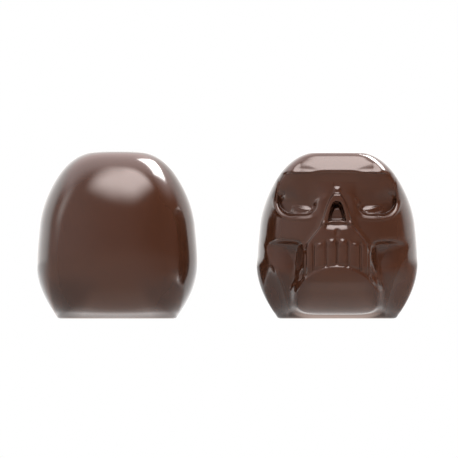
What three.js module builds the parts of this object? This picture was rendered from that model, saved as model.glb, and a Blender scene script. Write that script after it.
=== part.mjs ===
// Two hollow half shells of a moulded chocolate skull, standing side by side on their flat necks.
// Millimetres, +Z up. The moulded outsides face -Y, the open rims lie in one plane and face +Y.
import * as THREE from 'three';

// ---- sizes of both halves ----
const HEIGHT = 33.35;          // flat neck to flat crown
const HALF_WIDTH = 16.15;      // widest half of the outline
const SPACING = 44;            // between the middles of the two halves
const WALL = 2.2;              // chocolate left between the outside and the hollow
const NECK_FILLET = 1.4;       // rounding between the outside and the flat neck
const CROWN_HALF = 4.2;        // half of the flat crown edge
const NECK_HALF = 11.3;        // half of the flat neck edge
const BACK_DEPTH = 14.2;       // rim plane to the outside of the back half
const FACE_DEPTH = 14.0;       // rim plane to the face without its relief
const SIDE_POWER = 2.6;        // how square the cross sections are (2 = ellipse)
const FOREHEAD_SQUARE = 4.3;   // how much squarer the cross sections of the forehead are
const RELIEF_FADE = 3.4;       // depth over which the relief dies out towards the rim
const BROW_BELOW_CROWN = 3.85; // flat crown down to the brow's edge

// ---- face relief, mm from the middle of the face and from the neck; tables hold [height, value] ----
const BROW = { z: 29.5, dropFrom: 8.6, drop: 0.0105, dip: 0.12, dipAt: 1.7, dipHalf: 0.5 };
// how far the heights of the relief stretch to bring its brow to its place below the crown
const RELIEF_RISE = (HEIGHT - BROW_BELOW_CROWN) / BROW.z;
const SOCKET = { step: 0.5, slope: 0.175, foot: 7.3 };
const TEMPLE = { outer: 13.3, inner: 9.6, lowOuter: 12.8, lowInner: 12, high: 26, low: 22.6 };
const SILL = { x: 7.9, z: 24.5, halfWidth: 4.5, halfHeight: 4.3, power: 2.5, nosePower: 3.4 };
const BEAD = { at: 1.08, half: 0.035, height: 0.13 };
const SILL_TO_NOSE = { from: 6, to: 3.9, opens: 23, open: 27.5 };
const RING = { x: 7.1, z: 24.2, halfWidth: 3.4, halfHeight: 3.3, power: 2.5, widens: 2, share: 0.48,
  fadeFrom: 7.8, fadeTo: 9.8 };
const SHELF = { x: 6.65, top: 22.6, drop: 0.7, rise: 0.42, halfWidth: 2.5, flatHalf: 1.3 };
const BOWL = { x: 6.4, z: 24.6, halfWidth: 3.6, halfHeight: 3.3, power: 2.3, depth: 0.07 };
const COLUMN = { step: 0.48, roundOff: 0.5, roundHalf: 8.4 };
const JAW_SHELF = { foot: 17.7, top: 18.6, grooveZ: 18.85, roll: 0.45, groove: 0.52, arch: 0.06 };
const COLUMN_HALF = [[8, 6.7], [11, 6.6], [13.6, 6.4], [15.1, 5.8], [16.8, 4.5], [18.2, 3.45], [18.9, 3.15],
  [20.1, 2.7], [22.1, 2.15], [23.7, 1.5], [24.9, 0.75], [25.3, 0.6]];
const COLUMN_CREST = [[0.5, 0], [5, 0.45], [8, 0.8], [10.5, 1.05], [13, 1.12], [15.5, 1.08], [17.5, 0.98],
  [19.3, 0.85], [20.5, 0.82], [22, 0.7], [24, 0.5], [24.75, 0.38], [25.1, -0.27], [25.5, -0.36], [25.9, -0.42],
  [26.5, -0.76], [27.2, -0.78], [28.4, -0.66], [29.1, -0.5], [29.6, 0], [30.5, 0]];
const NOTCH = { z: 17.55, halfWidth: 0.4, halfHeight: 0.6, depth: 0.26 };
const FRAME_FOOT = { x: 2.55, z: 18.75, halfWidth: 0.4, halfHeight: 0.35, height: 0.2 };
const OPENING = { top: 23.45, span: 3.6, halfWidth: 1.7, power: 0.4, sill: 19.2, sillRoll: 0.55 };
const OPENING_DEPTH = [[19, 2], [20.5, 2.2], [22.5, 2.5], [23.6, 2.7]];
const PLATE = { top: 22.75, span: 3, halfWidth: 1.3, power: 0.6, height: 0.7 };
const HOLLOW = { top: 16.3, full: 12.9, depth: 1.75, inRoll: 2.2, outRoll: 4.4, foot: 4, fullFoot: 7.5 };
const CREASE = { top: 14.7, bottom: 14.25, depth: 0.4, inner: 9, outer: 11.5 };
const HOLLOW_OUT = [[4, 8.8], [6.7, 9.9], [8.1, 11.1], [11.3, 13.2], [12.8, 14.4], [15.5, 14.8]];
const HOLLOW_IN = [[4, 8.6], [7.5, 7.8], [10, 6.8], [13.5, 6.2], [16, 6.4]];
const TEETH = { edges: [0, 2.2, 4.7, 6.3, 8.3], top: 16, slant: 0.3, bulge: 0.17 };
const TOOTH_GAP = { depth: 0.2, half: 0.2 };
// the flat side of the lower jaw, out to a short wall at the rim
const FLANK = { slope: 1.1, power: 16, before: 0.4, after: 0.6, top: 12.6, full: 10.4 };
const ROOTS = [{ x: 1.12, z: 15.35, halfWidth: 0.8, halfHeight: 0.9, height: 0.2 },
  { x: 3.7, z: 14.5, halfWidth: 1, halfHeight: 0.8, height: 0.11 }];
const BLOCK = { z: 5.2, halfWidth: 8.15, up: 5.4, down: 4.4, upPower: 1.8, downPower: 5 };
const BLOCK_EDGE = { proud: 0.3, groove: 0.12, grooveAt: 1.045, grooveHalf: 0.025 };
const VALLEY = { depth: 1.2, ridgeLoss: 0.5, width: 3 };
const RIDGE = { foot: 9.5, top: 13.2, topZ: 12, power: 1.7, groove: 0.16, halfWidth: 0.22 };

// ---- mesh steps ----
const FRONT_STEPS = [0.1, 0.25, 0.4, 0.55, 0.7, 0.85, 1];   // columns of a front tooth, finer for the nose
const TOOTH_STEPS = [0.14, 0.38, 0.62, 0.86, 1];            // columns of every other tooth
const CHEEK_STEPS = 13;
const CORE_SHARE = 0.62;       // share of the half width kept for the tooth columns
// rows of facets: [where they start, how many up to the next start]; the forehead's start below the crown
const FOREHEAD_ROWS = [[5.85, 3], [4.15, 4], [3.45, 6], [0.95, 2], [0.45, 2], [0.15, 2]];
const FACE_ROWS = [[0, 4], [NECK_FILLET, 22], [16.5 * RELIEF_RISE, 26],
  ...FOREHEAD_ROWS.map(([below, count]) => [HEIGHT - below, count])];
const BACK_ROWS = [[0, 4], [NECK_FILLET, 14], [HEIGHT - 9.35, 12]];
const BACK_STEPS = 15;
const INNER_STEPS = 13;
const INNER_ROWS = 24;

const clamp = THREE.MathUtils.clamp;
const ramp = (from, to, v) => {
  const t = clamp((v - from) / (to - from), 0, 1);
  return t * t * (3 - 2 * t);
};
const bump = (v, half) => Math.pow(clamp(1 - (v / half) ** 2, 0, 1), 2);
const bell = (v, half) => Math.exp(-((v / half) ** 2));
const arch = (u, power) => Math.pow(1 - Math.pow(Math.min(Math.abs(u), 1), power), 1 / power);
const ovalRadius = (x, z, o) => Math.pow(
  Math.pow(Math.abs((x - o.x) / o.halfWidth), o.power) + Math.pow(Math.abs((z - o.z) / o.halfHeight), o.power),
  1 / o.power);
// a value that runs smoothly through a table of [height, value]
const through = (table, z) => {
  const last = table.length - 1;
  let i = 0;
  while (i < last - 1 && table[i + 1][0] <= z) i++;
  const w = clamp((z - table[i][0]) / (table[i + 1][0] - table[i][0]), 0, 1);
  const p1 = table[i][1];
  const p2 = table[i + 1][1];
  const m1 = (p2 - table[Math.max(i - 1, 0)][1]) / 2;
  const m2 = (table[Math.min(i + 2, last)][1] - p1) / 2;
  return (2 * p1 - 2 * p2 + m1 + m2) * w ** 3 + (3 * p2 - 3 * p1 - 2 * m1 - m2) * w * w + m1 * w + p1;
};
// 0 before the start, rolling over an edge down to 1 at the end
const lip = (from, to, v) => {
  const t = clamp((v - from) / (to - from), 0, 1);
  return 1 - Math.sqrt(1 - t * t);
};
const mix = (a, b, t) => a * (1 - t) + b * t;
const softMin = (a, b, k) => {
  const h = clamp(0.5 + (0.5 * (b - a)) / k, 0, 1);
  return b * (1 - h) + a * h - k * h * (1 - h);
};

// ---- outline shared by both halves ----
const at = (w, h) => new THREE.Vector2(w * HALF_WIDTH, h * HEIGHT);
const outline = new THREE.CurvePath();
const NECK_END = new THREE.Vector2(NECK_HALF, 0);
const CROWN_END = new THREE.Vector2(CROWN_HALF, HEIGHT);
const join = (a, b, c, d) => outline.add(new THREE.CubicBezierCurve(a, b, c, d));
join(NECK_END, at(0.737, 0), at(0.743, 0.01), at(0.7616, 0.0225));
join(at(0.7616, 0.0225), at(0.9146, 0.1244), at(1, 0.2279), at(1, 0.3388));
join(at(1, 0.3388), at(1, 0.4138), at(0.9814, 0.4918), at(0.9659, 0.5667));
join(at(0.9659, 0.5667), at(0.938, 0.6768), at(0.8372, 0.7913), at(0.6997, 0.88));
join(at(0.6997, 0.88), at(0.5882, 0.9505), at(0.4272, 1), CROWN_END);
const OUTLINE_STEPS = 120;
const outlineTable = outline.curves.flatMap((c) => c.getPoints(OUTLINE_STEPS));

const lookUp = (table, z) => {
  let low = 0;
  let high = table.length - 1;
  while (high - low > 1) {
    const mid = (low + high) >> 1;
    if (table[mid].y <= z) low = mid;
    else high = mid;
  }
  const a = table[low];
  const b = table[high];
  const t = b.y > a.y ? clamp((z - a.y) / (b.y - a.y), 0, 1) : 0;
  return a.x + (b.x - a.x) * t;
};
const halfWidthAt = (z) => lookUp(outlineTable, z);

// ---- depth of the plain halves ----
const filletLoss = (z) => {
  const a = clamp((NECK_FILLET - z) / NECK_FILLET, 0, 1);
  return NECK_FILLET * (1 - Math.sqrt(1 - a * a));
};
const BACK_CREST = 0.435 * HEIGHT;
const BACK_NECK_LOSS = 2.6;
const CROWN_OVER = 0.35;
const backProfile = (z) => {
  if (z >= BACK_CREST) return BACK_DEPTH * arch((z - BACK_CREST) / (HEIGHT + CROWN_OVER - BACK_CREST), 2.15);
  return BACK_DEPTH - BACK_NECK_LOSS * Math.pow((BACK_CREST - z) / BACK_CREST, 2.4);
};
const backDepth = (x, z) => (backProfile(z) - filletLoss(z)) * arch(x / halfWidthAt(z), SIDE_POWER - 0.1);

const profileKnots = new THREE.SplineCurve([
  new THREE.Vector2(FACE_DEPTH - 3, 0), new THREE.Vector2(FACE_DEPTH - 2.1, 0.06 * HEIGHT),
  new THREE.Vector2(FACE_DEPTH - 0.95, 0.16 * HEIGHT), new THREE.Vector2(FACE_DEPTH - 0.25, 0.31 * HEIGHT),
  new THREE.Vector2(FACE_DEPTH, 0.5 * HEIGHT), new THREE.Vector2(FACE_DEPTH, 0.65 * HEIGHT),
  new THREE.Vector2(FACE_DEPTH - 0.15, 0.8 * HEIGHT), new THREE.Vector2(FACE_DEPTH - 0.6, HEIGHT)]);
const profileTable = profileKnots.getPoints(OUTLINE_STEPS);
const FOREHEAD_FROM = 0.8 * HEIGHT;
const foreheadKnots = new THREE.SplineCurve([
  new THREE.Vector2(FACE_DEPTH + 1.3, FOREHEAD_FROM), new THREE.Vector2(FACE_DEPTH + 0.35, 0.85 * HEIGHT),
  new THREE.Vector2(FACE_DEPTH - 0.45, 0.886 * HEIGHT), new THREE.Vector2(FACE_DEPTH - 1.15, 0.92 * HEIGHT),
  new THREE.Vector2(FACE_DEPTH - 1.95, 0.952 * HEIGHT), new THREE.Vector2(FACE_DEPTH - 2.9, 0.982 * HEIGHT),
  new THREE.Vector2(FACE_DEPTH - 4.3, 0.995 * HEIGHT), new THREE.Vector2(FACE_DEPTH - 9.5, HEIGHT)]);
const foreheadTable = foreheadKnots.getPoints(OUTLINE_STEPS);
const BROW_BLEND = 0.25;
const faceProfile = (z) => {
  const front = lookUp(profileTable, z);
  return z < FOREHEAD_FROM ? front : softMin(front, lookUp(foreheadTable, z), BROW_BLEND);
};
const faceSidePower = (z) => SIDE_POWER + 0.1 + FOREHEAD_SQUARE * ramp(23, 31, z / RELIEF_RISE);
const plainFaceDepth = (x, z) => {
  const half = halfWidthAt(z);
  const front = faceProfile(z) - filletLoss(z);
  const up = z / RELIEF_RISE;
  const ridge = ridgeAt(up);
  const off = Math.abs(x) - ridge;
  const ovalSide = front * arch(x / half, faceSidePower(z));
  const flank = front * arch(ridge / half, SIDE_POWER + 0.1) - FLANK.slope * Math.max(off, 0);
  const share = ramp(-FLANK.before, FLANK.after, off) * ramp(FLANK.top, FLANK.full, up);
  return mix(ovalSide, flank * arch(x / half, FLANK.power), share);
};

// ---- relief of the face: each function gives mm to add to the depth at a = |x| ----
const browEdge = (a) => BROW.z - BROW.drop * Math.max(a - BROW.dropFrom, 0) ** 3
  - BROW.dip * bell(a - BROW.dipAt, BROW.dipHalf);

const eyeSocket = (a, z) => {
  const down = browEdge(a) - z;
  const depth = SOCKET.step * ramp(0, SOCKET.step, down) + SOCKET.slope * clamp(down, 0, SOCKET.foot);
  const low = ramp(TEMPLE.high, TEMPLE.low, z);
  const temple = ramp(mix(TEMPLE.outer, TEMPLE.lowOuter, low), mix(TEMPLE.inner, TEMPLE.lowInner, low), a);
  const toNose = ramp(SILL_TO_NOSE.from, SILL_TO_NOSE.to, a);

  // outer sill: an oval below, open towards the brow and the bridge
  const isNear = a < SILL.x;
  const open = ramp(SILL_TO_NOSE.opens, SILL_TO_NOSE.open, z);
  const near = isNear ? SILL.x - (SILL.x - a) * (1 - open) : a;
  const rim = ovalRadius(near, Math.min(z, SILL.z), isNear ? { ...SILL, power: SILL.nosePower } : SILL);
  const outerSill = mix(lip(1.07, 0.86, rim), ramp(1.12, 0.66, rim), toNose);

  // inner sill, and the shelf that leads up to the flat back of the socket
  const soft = 0.55 * ramp(21.8, 23.3, z) + 0.2 * toNose;
  const wide = RING.halfWidth + RING.widens * ramp(22.3, 26, z);
  const ring = ovalRadius(a, Math.min(z, RING.z), { ...RING, halfWidth: wide });
  const innerSill = mix(lip(1.04, 0.9, ring), ramp(1.04 + soft, 0.9 - soft, ring), soft);
  const share = RING.share * (1 - Math.max(ramp(21.4, 24.6, z), ramp(RING.fadeFrom, RING.fadeTo, a)));
  const acrossShelf = ramp(SHELF.halfWidth, SHELF.flatHalf, Math.abs(a - SHELF.x));
  const shelf = SHELF.rise * clamp((SHELF.top - z) / SHELF.drop, 0, 1) * acrossShelf;

  const layers = mix(1, innerSill, share) * outerSill;
  const beadHere = ramp(24, 23, z) * (1 - toNose) * ramp(13.2, 12.6, a);
  const bead = BEAD.height * bell(rim - BEAD.at, BEAD.half) * beadHere;
  const bowl = BOWL.depth * ramp(1.12, 0.78, ovalRadius(a, z, BOWL)) * ramp(20.9, 22.3, z);
  return bead + (shelf * innerSill - depth * layers) * temple - bowl;
};

const blockRadius = (a, z) => {
  const up = z > BLOCK.z;
  const power = up ? BLOCK.upPower : BLOCK.downPower;
  const v = Math.abs(z - BLOCK.z) / (up ? BLOCK.up : BLOCK.down);
  return Math.pow(Math.pow(a / BLOCK.halfWidth, power) + Math.pow(v, power), 1 / power);
};

// bridge, nose opening's frame and upper jaw: a raised column merged into the relief around it
const middleColumn = (a, z, around) => {
  const half = through(COLUMN_HALF, z);
  const arched = z + JAW_SHELF.arch * a * a;
  const fall = clamp((arched - JAW_SHELF.foot) / (JAW_SHELF.top - JAW_SHELF.foot), 0, 1);
  const wallAbove = ramp(JAW_SHELF.grooveZ + JAW_SHELF.roll, JAW_SHELF.grooveZ, arched);
  const groove = JAW_SHELF.groove * fall * wallAbove * ramp(3.2, 1.9, a);
  const bridge = 0.4 * (1 - bell(a, 1.2)) * bell(z - 26.2, 0.7);
  const crest = through(COLUMN_CREST, z) - groove - bridge;
  const rounded = crest * (1 - COLUMN.roundOff * clamp(a / COLUMN.roundHalf, 0, 1) ** 2 * ramp(18.5, 15, z));
  const flank = ramp(half + 1.3 + 1.3 * ramp(20, 22, z), half - 0.1, a);
  const beside = mix(around, rounded - COLUMN.step * ramp(26, 24.5, z), flank);
  const ground = mix(around, beside, ramp(9, 12, z));
  const top = Math.max(ramp(0.22, -0.25, a - half), ramp(1.02, 0.92, blockRadius(a, z)) * ramp(9.6, 9, z));
  const notch = NOTCH.depth * bell(a, NOTCH.halfWidth) * bell(z - NOTCH.z, NOTCH.halfHeight);
  const foot = FRAME_FOOT.height * bell(a - FRAME_FOOT.x, FRAME_FOOT.halfWidth)
    * bell(z - FRAME_FOOT.z, FRAME_FOOT.halfHeight);
  return mix(ground, rounded, top) + foot - notch;
};

const noseOpening = (a, z) => {
  const half = OPENING.halfWidth * Math.pow(Math.max(OPENING.top - z, 0) / OPENING.span, OPENING.power);
  const sill = lip(OPENING.sill, OPENING.sill + OPENING.sillRoll, z + 0.12 * Math.max(a - 1.1, 0));
  const inside = ramp(0.2, -0.35, a - half) * sill * ramp(OPENING.top + 0.05, OPENING.top - 0.15, z);
  const plate = PLATE.halfWidth * Math.pow(Math.max(PLATE.top - z, 0) / PLATE.span, PLATE.power);
  const lift = PLATE.height * ramp(0.2, -0.3, a - plate) * ramp(PLATE.top + 0.1, PLATE.top - 0.5, z);
  return -inside * (through(OPENING_DEPTH, z) - lift);
};

const cheekHollow = (a, z) => {
  const out = clamp((through(HOLLOW_OUT, z) + 0.3 - a) / HOLLOW.outRoll, 0, 1);
  const across = ramp(0, HOLLOW.inRoll, a - through(HOLLOW_IN, z)) * out;
  const under = ramp(HOLLOW.top, HOLLOW.full, z + 0.1 * (9.5 - a));
  const falling = z + 0.06 * (a - CREASE.inner);
  const crease = CREASE.depth * ramp(CREASE.top, CREASE.bottom, falling) * ramp(CREASE.outer, CREASE.inner, a);
  return -across * (HOLLOW.depth * under + crease) * ramp(HOLLOW.foot, HOLLOW.fullFoot, z);
};

const teethAndBlock = (a, z) => {
  const r = blockRadius(a, z);
  const rootTop = TEETH.top - TEETH.slant * clamp(a - 1.1, 0, 3);
  const sides = ramp(7.2, 6.4, a) * ramp(BLOCK.z, BLOCK.z + 2, z);
  const here = ramp(0.3, -0.7, z - rootTop) * ramp(1, 1.05, r) * sides;
  let crown = 0;
  let groove = 0;
  for (let i = 0; i < TEETH.edges.length - 1; i++) {
    const mid = (TEETH.edges[i] + TEETH.edges[i + 1]) / 2;
    const half = (TEETH.edges[i + 1] - TEETH.edges[i]) / 2;
    crown += TEETH.bulge * clamp(1 - ((a - mid) / half) ** 2, 0, 1);
    groove = Math.max(groove, TOOTH_GAP.depth * bell(a - TEETH.edges[i], TOOTH_GAP.half));
  }
  let roots = 0;
  for (const r0 of ROOTS) roots += r0.height * bump(a - r0.x, r0.halfWidth) * bump(z - r0.z, r0.halfHeight);
  const proud = BLOCK_EDGE.proud * lip(1.03, 0.95, r) * ramp(BLOCK.z, BLOCK.z + 2.3, z) * ramp(-2, 9, z);
  const edgeHere = bell(r - BLOCK_EDGE.grooveAt, BLOCK_EDGE.grooveHalf) * ramp(BLOCK.z, BLOCK.z + 3.3, z);
  return (crown - groove) * here + roots + proud - BLOCK_EDGE.groove * edgeHere;
};

const ridgeAt = (z) => mix(RIDGE.foot, RIDGE.top, Math.pow(clamp(z / RIDGE.topZ, 0, 1), RIDGE.power));
const jawSides = (a, z) => {
  const off = a - ridgeAt(z);
  const depth = VALLEY.depth - VALLEY.ridgeLoss * ramp(-0.7, 0.2, off);
  const valley = depth * ramp(0.97, 1.24, blockRadius(a, z)) * ramp(VALLEY.width, 0.2, off);
  const line = RIDGE.groove * bell(off, RIDGE.halfWidth) * ramp(11.5, 9.5, z) * ramp(1, 3, z);
  return -valley * ramp(10.5, 7.5, z) * ramp(0.8, 3.4, z) - line;
};

const sharpFaceDepth = (x, z) => {
  const a = Math.abs(x);
  const up = z / RELIEF_RISE;
  const plain = plainFaceDepth(x, z);
  const relief = middleColumn(a, up, eyeSocket(a, up)) + noseOpening(a, up) + cheekHollow(a, up)
    + teethAndBlock(a, up) + jawSides(a, up);
  return plain + relief * ramp(0.6, 0.6 + RELIEF_FADE, plain);
};
// edges finer than the facets are rounded: each point takes the mean of a small patch
const PATCH = { x: 0.16, z: 0.22, weights: [0.25, 0.5, 0.25] };
const faceDepth = (x, z) => {
  let depth = 0;
  PATCH.weights.forEach((wx, i) => PATCH.weights.forEach((wz, j) => {
    const xx = x + (i - 1) * PATCH.x;
    const zz = clamp(z + (j - 1) * PATCH.z, 0, HEIGHT);
    depth += wx * wz * (Math.abs(xx) < halfWidthAt(zz) ? sharpFaceDepth(xx, zz) : 0);
  }));
  return depth;
};

// ---- grid of one surface: rows from neck to crown, columns from -x to +x ----
const rowHeights = (spans) => {
  const rows = [];
  spans.forEach(([from, count], i) => {
    const to = i + 1 < spans.length ? spans[i + 1][0] : HEIGHT;
    for (let k = 0; k < count; k++) rows.push(from + ((to - from) * k) / count);
  });
  return [...rows, HEIGHT];
};
const archColumns = (steps) => (half) => {
  const xs = [];
  for (let k = -steps; k <= steps; k++) xs.push(half * Math.sin((k / steps) * (Math.PI / 2)));
  return xs;
};
const faceColumns = (half) => {
  const last = TEETH.edges.length - 1;
  const squeeze = Math.min(1, (CORE_SHARE * half) / TEETH.edges[last]);
  const side = [];
  for (let i = 0; i < last; i++) {
    const width = TEETH.edges[i + 1] - TEETH.edges[i];
    const steps = i === 0 ? FRONT_STEPS : TOOTH_STEPS;
    steps.forEach((s) => side.push(squeeze * (TEETH.edges[i] + s * width)));
  }
  const start = Math.asin(side[side.length - 1] / half);
  const turn = (Math.PI / 2 - start) / CHEEK_STEPS;
  for (let k = 1; k <= CHEEK_STEPS; k++) side.push(half * Math.sin(start + turn * k));
  return [...side.map((x) => -x).reverse(), 0, ...side];
};
const surfaceGrid = (rows, halfAt, columns, depthAt) => rows.map((z) => {
  const half = halfAt(z);
  const xs = columns(half);
  return xs.map((x, i) => {
    const onRim = i === 0 || i === xs.length - 1;
    return new THREE.Vector3(x, onRim ? 0 : -depthAt(x, z), z);
  });
});

// ---- hollow: the outside moved inwards by the wall in every direction ----
const BALL_RINGS = [0.3, 0.55, 0.75, 0.9, 0.98];
const BALL_SPOKES = 16;
const HOLLOW_EDGE = 0.15;      // least depth of the hollow behind its rim
const hollowHalfAt = (z) => {
  let half = Infinity;
  for (let k = 0; k <= BALL_SPOKES; k++) {
    const angle = (k / BALL_SPOKES - 0.5) * Math.PI;
    const zz = clamp(z + WALL * Math.sin(angle), 0, HEIGHT);
    half = Math.min(half, halfWidthAt(zz) - WALL * Math.cos(angle));
  }
  return half;
};
const hollowDepth = (outerAt) => (x, z) => {
  let depth = outerAt(x, z) - WALL;
  for (const ring of BALL_RINGS) {
    const sag = WALL * Math.sqrt(1 - ring * ring);
    for (let k = 0; k < BALL_SPOKES; k++) {
      const angle = (k / BALL_SPOKES) * 2 * Math.PI;
      const xx = x + WALL * ring * Math.cos(angle);
      const zz = clamp(z + WALL * ring * Math.sin(angle), 0, HEIGHT);
      const there = Math.abs(xx) < halfWidthAt(zz) ? outerAt(xx, zz) : 0;
      depth = Math.min(depth, there - sag);
    }
  }
  return Math.max(depth, HOLLOW_EDGE);
};

// ---- closed body from an outer grid, an inner grid and the rim between them ----
const gridTriangles = (grid, first, flip, out) => {
  const wide = grid[0].length;
  const add = (a, b, c) => out.push(...(flip ? [a, c, b] : [a, b, c]).map((k) => k + first));
  for (let j = 0; j + 1 < grid.length; j++) {
    for (let i = 0; i + 1 < wide; i++) {
      const a = j * wide + i;
      const b = a + wide;
      const rising = Math.abs(grid[j][i].y - grid[j + 1][i + 1].y);
      const falling = Math.abs(grid[j][i + 1].y - grid[j + 1][i].y);
      if (rising < falling - 1e-6 || (Math.abs(rising - falling) <= 1e-6 && i < wide / 2 - 0.5)) {
        add(a, a + 1, b + 1);
        add(a, b + 1, b);
      } else {
        add(a, a + 1, b);
        add(a + 1, b + 1, b);
      }
    }
  }
  const cap = (row, up) => {
    const first = row * wide;
    for (let i = 1; i + 1 < wide; i++) {
      if (up) add(first, first + i, first + i + 1);
      else add(first, first + i + 1, first + i);
    }
  };
  cap(0, false);
  cap(grid.length - 1, true);
};
const rimLoop = (grid) => {
  const wide = grid[0].length;
  const right = grid.map((_, j) => j * wide + wide - 1);
  const left = grid.map((_, j) => j * wide).reverse();
  return [...right, ...left];
};
const shellMesh = (name, colour, outer, inner, shiftX) => {
  const points = [...outer.flat(), ...inner.flat()];
  const firstInner = outer.length * outer[0].length;
  const index = [];
  gridTriangles(outer, 0, false, index);
  gridTriangles(inner, firstInner, true, index);
  const outside = rimLoop(outer);
  const inside = rimLoop(inner).map((k) => k + firstInner);
  const flat = (loop) => loop.map((k) => new THREE.Vector2(points[k].x, points[k].z));
  const all = [...outside, ...inside];
  THREE.ShapeUtils.triangulateShape(flat(outside), [flat(inside)]).forEach((tri) => {
    const [p, q, r] = tri.map((k) => points[all[k]]);
    const turn = (q.x - p.x) * (r.z - p.z) - (q.z - p.z) * (r.x - p.x);
    const ids = tri.map((k) => all[k]);
    index.push(...(turn < 0 ? ids : [ids[0], ids[2], ids[1]]));
  });
  const geometry = new THREE.BufferGeometry();
  const xyz = points.flatMap((p) => [p.x + shiftX, p.y + RIM_Y, p.z]);
  geometry.setAttribute('position', new THREE.Float32BufferAttribute(xyz, 3));
  geometry.setIndex(index);
  geometry.computeVertexNormals();
  const mesh = new THREE.Mesh(geometry, new THREE.MeshStandardMaterial({ color: colour, roughness: 0.3 }));
  mesh.name = name;
  return mesh;
};

const innerRows = () => {
  const rows = [];
  for (let k = 0; k <= INNER_ROWS; k++) {
    const share = 0.5 - 0.5 * Math.cos((k / INNER_ROWS) * Math.PI);
    rows.push(WALL + (HEIGHT - 2 * WALL) * share);
  }
  return rows;
};
const hollowGrid = (outerAt) => surfaceGrid(
  innerRows(), hollowHalfAt, archColumns(INNER_STEPS), hollowDepth(outerAt));

const faceOuter = surfaceGrid(rowHeights(FACE_ROWS), halfWidthAt, faceColumns, faceDepth);
const backOuter = surfaceGrid(rowHeights(BACK_ROWS), halfWidthAt, archColumns(BACK_STEPS), backDepth);
const deepest = Math.min(...faceOuter.flat().map((p) => p.y));
const RIM_Y = -deepest / 2;

const group = new THREE.Group();
group.add(shellMesh('face_half', 0x4a2c24, faceOuter, hollowGrid(faceDepth), SPACING / 2));
group.add(shellMesh('back_half', 0x50332b, backOuter, hollowGrid(backDepth), -SPACING / 2));

export default group;
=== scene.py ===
import math
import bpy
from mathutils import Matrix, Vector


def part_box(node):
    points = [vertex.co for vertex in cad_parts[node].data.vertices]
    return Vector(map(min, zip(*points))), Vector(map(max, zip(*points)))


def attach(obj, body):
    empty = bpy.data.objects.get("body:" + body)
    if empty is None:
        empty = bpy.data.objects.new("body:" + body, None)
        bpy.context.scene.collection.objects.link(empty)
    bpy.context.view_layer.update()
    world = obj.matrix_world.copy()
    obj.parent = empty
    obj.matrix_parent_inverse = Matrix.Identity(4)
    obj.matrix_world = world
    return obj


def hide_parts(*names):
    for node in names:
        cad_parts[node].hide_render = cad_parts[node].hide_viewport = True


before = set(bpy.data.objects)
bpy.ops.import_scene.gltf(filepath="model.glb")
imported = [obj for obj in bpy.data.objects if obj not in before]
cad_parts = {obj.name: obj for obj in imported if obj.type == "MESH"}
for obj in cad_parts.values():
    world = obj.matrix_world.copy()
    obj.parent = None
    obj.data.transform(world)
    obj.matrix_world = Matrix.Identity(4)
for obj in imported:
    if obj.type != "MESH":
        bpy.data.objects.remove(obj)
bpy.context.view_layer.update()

from types import SimpleNamespace as Sizes

import bpy
import numpy as np
from mathutils import Vector
from mathutils.geometry import tessellate_polygon

MM = 0.001

# Sizes of both half shells in mm, the same as the solids'
HEIGHT, HALF_WIDTH, SPACING, WALL = 33.35, 16.15, 44.0, 2.2
NECK_FILLET, CROWN_HALF, NECK_HALF = 1.4, 4.2, 11.3
BACK_DEPTH, FACE_DEPTH = 14.2, 14.0
BACK_NECK_LOSS, FACE_NECK_LOSS = 2.6, 3.0        # how much less deep the halves are at the neck
SIDE_POWER = 2.6                                 # how square the cross sections are (2 = ellipse)
BACK_POWER, FACE_POWER = SIDE_POWER - 0.1, SIDE_POWER + 0.1
RIM_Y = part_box("face_half")[1][1] / MM

# Back dome over its height, and the plain face before its relief
BACK = Sizes(crest=0.435 * HEIGHT, crown_over=0.35, crown_power=2.15, neck_power=2.4)
FOREHEAD = Sizes(foot=0.8 * HEIGHT, blend=0.25, squarer=4.3, squaring=(23, 31))
RIDGE = Sizes(foot=9.5, spread=3.7, top=12, power=1.7)
FLANK = Sizes(slope=1.1, power=16, edge=(-0.4, 0.6), top=(12.6, 10.4))


# ---- shaping curves ----
def ramp(start, end, v):
    t = np.clip((v - start) / (end - start), 0, 1)
    return t * t * (3 - 2 * t)


def mix(a, b, t):
    return a * (1 - t) + b * t


def bump(v, half):
    return np.clip(1 - (v / half) ** 2, 0, 1) ** 2


def bell(v, half):
    return np.exp(-((v / half) ** 2))


def hill(a, z, o):
    """A soft round spot."""
    return bell(a - o.x, o.half_width) * bell(z - o.z, o.half_height)


def arch(u, power):
    return (1 - np.minimum(np.abs(u), 1) ** power) ** (1 / power)


def oval(a, z, o, wider=0, power=None):
    """1 on the edge of an oval and less inside it."""
    power = o.power if power is None else power
    across, up = np.abs((a - o.x) / (o.half_width + wider)), np.abs((z - o.z) / o.half_height)
    return (across ** power + up ** power) ** (1 / power)


def soft_min(a, b, k):
    h = np.clip(0.5 + 0.5 * (b - a) / k, 0, 1)
    return b * (1 - h) + a * h - k * h * (1 - h)


# ---- outline of the rim, seen from the front ----
def bend(p, steps=160):
    t = np.linspace(0, 1, steps + 1)[:, None]
    a, b, c, d = (np.array(q, float) for q in p)
    return (1 - t) ** 3 * a + 3 * (1 - t) ** 2 * t * b + 3 * (1 - t) * t * t * c + t ** 3 * d


def share(w, h):
    return (w * HALF_WIDTH, h * HEIGHT)


def outline_table():
    parts = [
        [(NECK_HALF, 0), share(0.737, 0), share(0.743, 0.01), share(0.7616, 0.0225)],
        [share(0.7616, 0.0225), share(0.9146, 0.1244), share(1, 0.2279), share(1, 0.3388)],
        [share(1, 0.3388), share(1, 0.4138), share(0.9814, 0.4918), share(0.9659, 0.5667)],
        [share(0.9659, 0.5667), share(0.938, 0.6768), share(0.8372, 0.7913), share(0.6997, 0.88)],
        [share(0.6997, 0.88), share(0.5882, 0.9505), share(0.4272, 1), (CROWN_HALF, HEIGHT)],
    ]
    return np.vstack([bend(p) for p in parts])


OUTLINE = outline_table()


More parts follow.
